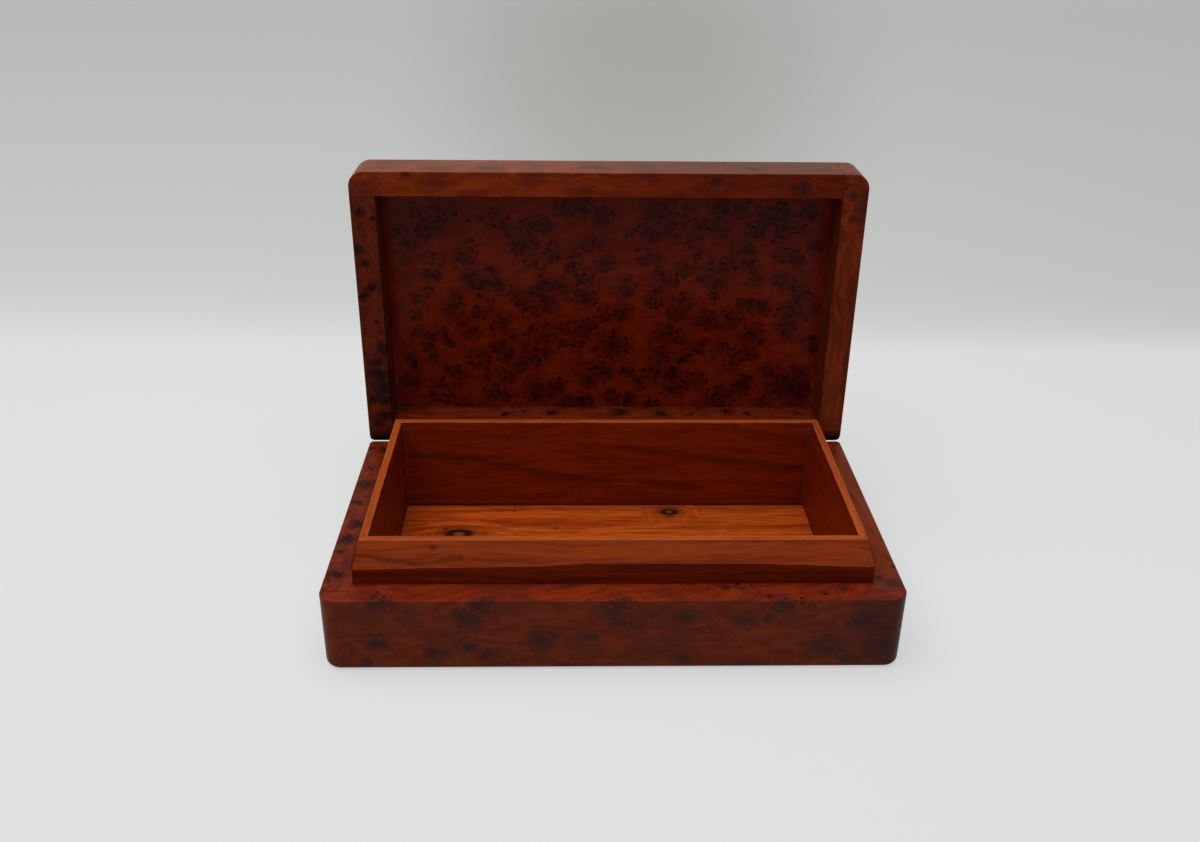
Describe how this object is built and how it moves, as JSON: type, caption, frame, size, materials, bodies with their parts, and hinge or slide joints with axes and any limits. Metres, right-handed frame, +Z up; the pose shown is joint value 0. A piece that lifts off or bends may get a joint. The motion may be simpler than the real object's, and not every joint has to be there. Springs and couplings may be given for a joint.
{
  "type": "hinged box",
  "caption": "Rounded rectangular burl wood box with an inner tray that stands above its rim and a deep framed lid that stops upright on its hinges.",
  "frame": {"origin": "on the surface the box stands on, under the middle of the whole object's extent with the lid open", "axes": "+X along the front, to the right; +Y from the front to the back; +Z up"},
  "size_m": [0.25, 0.1708, 0.1803],
  "materials": {
    "burl": "polished red-brown burl with dark eyes",
    "dark_burl": "glossy, densely eyed burl",
    "tray_wood": "satin, lightly figured",
    "floor_wood": "satin, straight-grained with small knots",
    "brass": "satin"
  },
  "bodies": {
    "base": {"base_front_wall": "burl", "base_back_wall": "burl", "base_left_wall": "burl", "base_right_wall": "burl", "base_bottom_board": "floor_wood", "tray_front_board": "tray_wood", "tray_back_board": "tray_wood", "tray_left_board": "tray_wood", "tray_right_board": "tray_wood", "left_hinge_base_leaf": "brass", "right_hinge_base_leaf": "brass", "left_hinge_pin": "brass", "right_hinge_pin": "brass", "base_screw_1": "brass", "base_screw_2": "brass", "base_screw_3": "brass", "base_screw_4": "brass"},
    "lid": {"lid_front_rail": "burl", "lid_back_rail": "burl", "lid_left_rail": "burl", "lid_right_rail": "burl", "lid_panel": "dark_burl", "left_hinge_lid_leaf": "brass", "right_hinge_lid_leaf": "brass", "lid_screw_1": "brass", "lid_screw_2": "brass", "lid_screw_3": "brass", "lid_screw_4": "brass"}
  },
  "joints": [
    {"name": "lid_hinge", "type": "hinge", "parent": "base", "child": "lid", "pos_m": [0, 0.05872, 0.03615], "axis": [1, 0, 0], "range_deg": [0, 90]}
  ]
}
